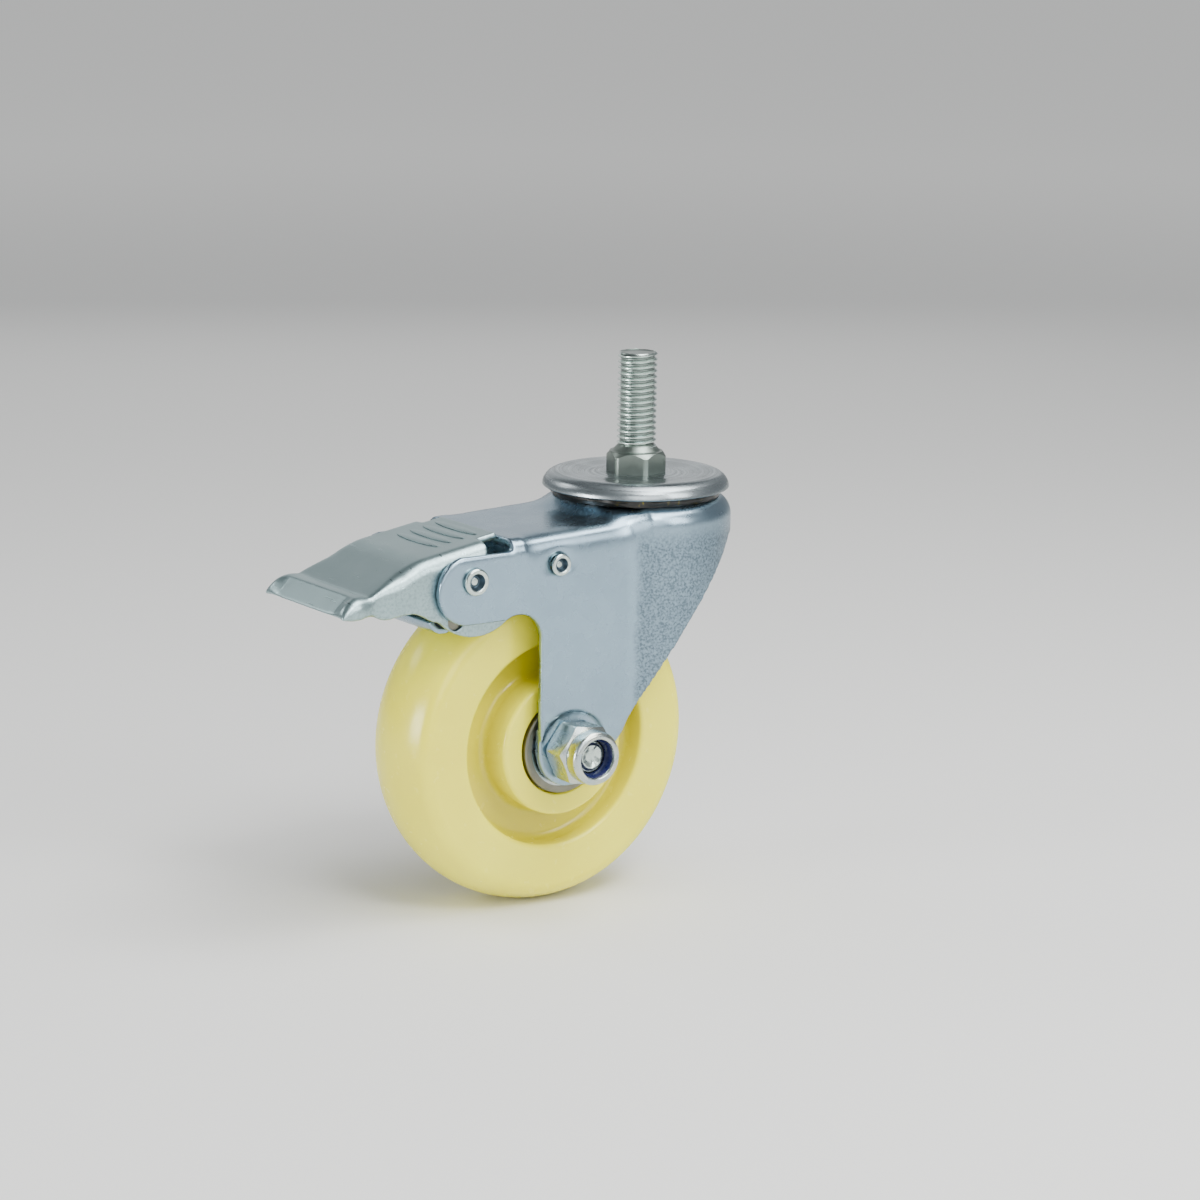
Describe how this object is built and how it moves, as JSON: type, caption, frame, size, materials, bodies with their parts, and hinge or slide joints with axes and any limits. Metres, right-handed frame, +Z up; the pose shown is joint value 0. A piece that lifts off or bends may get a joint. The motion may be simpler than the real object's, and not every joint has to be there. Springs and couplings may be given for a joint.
{
  "type": "braked castor",
  "caption": "Swivel castor with a threaded stem, a solid nylon wheel in a pressed steel fork and a foot pedal that brakes the wheel and locks the swivel.",
  "frame": {"origin": "on the swivel axis at the top face of the hexagon collar, where the castor seats under what it carries", "axes": "+Z up along the stem, -X towards the pedal and the trailing wheel, Y along the wheel's axle"},
  "size_m": [0.1453, 0.0652, 0.1632],
  "materials": {
    "zinc_pressed": "zinc plated pressed sheet, satin with a blue cast",
    "zinc_pedal": "zinc plated pressed sheet, satin with a faint green cast",
    "zinc_turned": "zinc plated turned steel, bright satin",
    "zinc_yellowish": "zinc plate with a faint yellow passivation",
    "bright_steel": "ground bearing steel",
    "spring_steel": "drawn spring wire",
    "nylon_cream": "moulded cream nylon, soft gloss",
    "nylon_navy": "dark blue nylon ring"
  },
  "bodies": {
    "head": {"threaded_stem": "zinc_turned", "swivel_cap": "zinc_pressed", "swivel_sleeve": "bright_steel", "lower_race_cup": "zinc_pressed"},
    "fork": {"fork": "zinc_pressed", "upper_balls": "bright_steel", "lower_balls": "bright_steel", "axle_bolt": "zinc_turned", "axle_nut": "zinc_yellowish", "nut_insert": "nylon_navy", "axle_sleeve": "bright_steel", "near_spacer": "zinc_turned", "far_spacer": "zinc_turned", "near_inner_ring": "bright_steel", "far_inner_ring": "bright_steel", "pedal_rivet": "zinc_turned", "lever_rivet": "zinc_turned"},
    "wheel": {"wheel": "nylon_cream", "near_outer_ring": "bright_steel", "far_outer_ring": "bright_steel", "near_bearing_balls": "bright_steel", "far_bearing_balls": "bright_steel", "near_dust_shield": "zinc_yellowish", "far_dust_shield": "zinc_yellowish"},
    "pedal": {"brake_pedal": "zinc_pedal", "cam_pin": "bright_steel"},
    "lever": {"brake_lever": "zinc_pressed", "return_spring": "spring_steel"}
  },
  "joints": [
    {"name": "swivel", "type": "hinge", "parent": "head", "child": "fork", "pos_m": [0, 0, 0], "axis": [0, 0, 1], "continuous": true},
    {"name": "wheel_spin", "type": "hinge", "parent": "fork", "child": "wheel", "pos_m": [-0.0376, 0, -0.0832], "axis": [0, 1, 0], "continuous": true},
    {"name": "pedal_press", "type": "hinge", "parent": "fork", "child": "pedal", "pos_m": [-0.0728, 0, -0.0286], "axis": [0, -1, 0], "range_deg": [0, 16]},
    {"name": "lever_press", "type": "hinge", "parent": "fork", "child": "lever", "pos_m": [-0.0434, 0, -0.0266], "axis": [0, -1, 0], "range_deg": [0, 4.6]}
  ],
  "couplings": [
    {"joint": "lever_press", "follows": "pedal_press", "ratio": 0.2875}
  ]
}
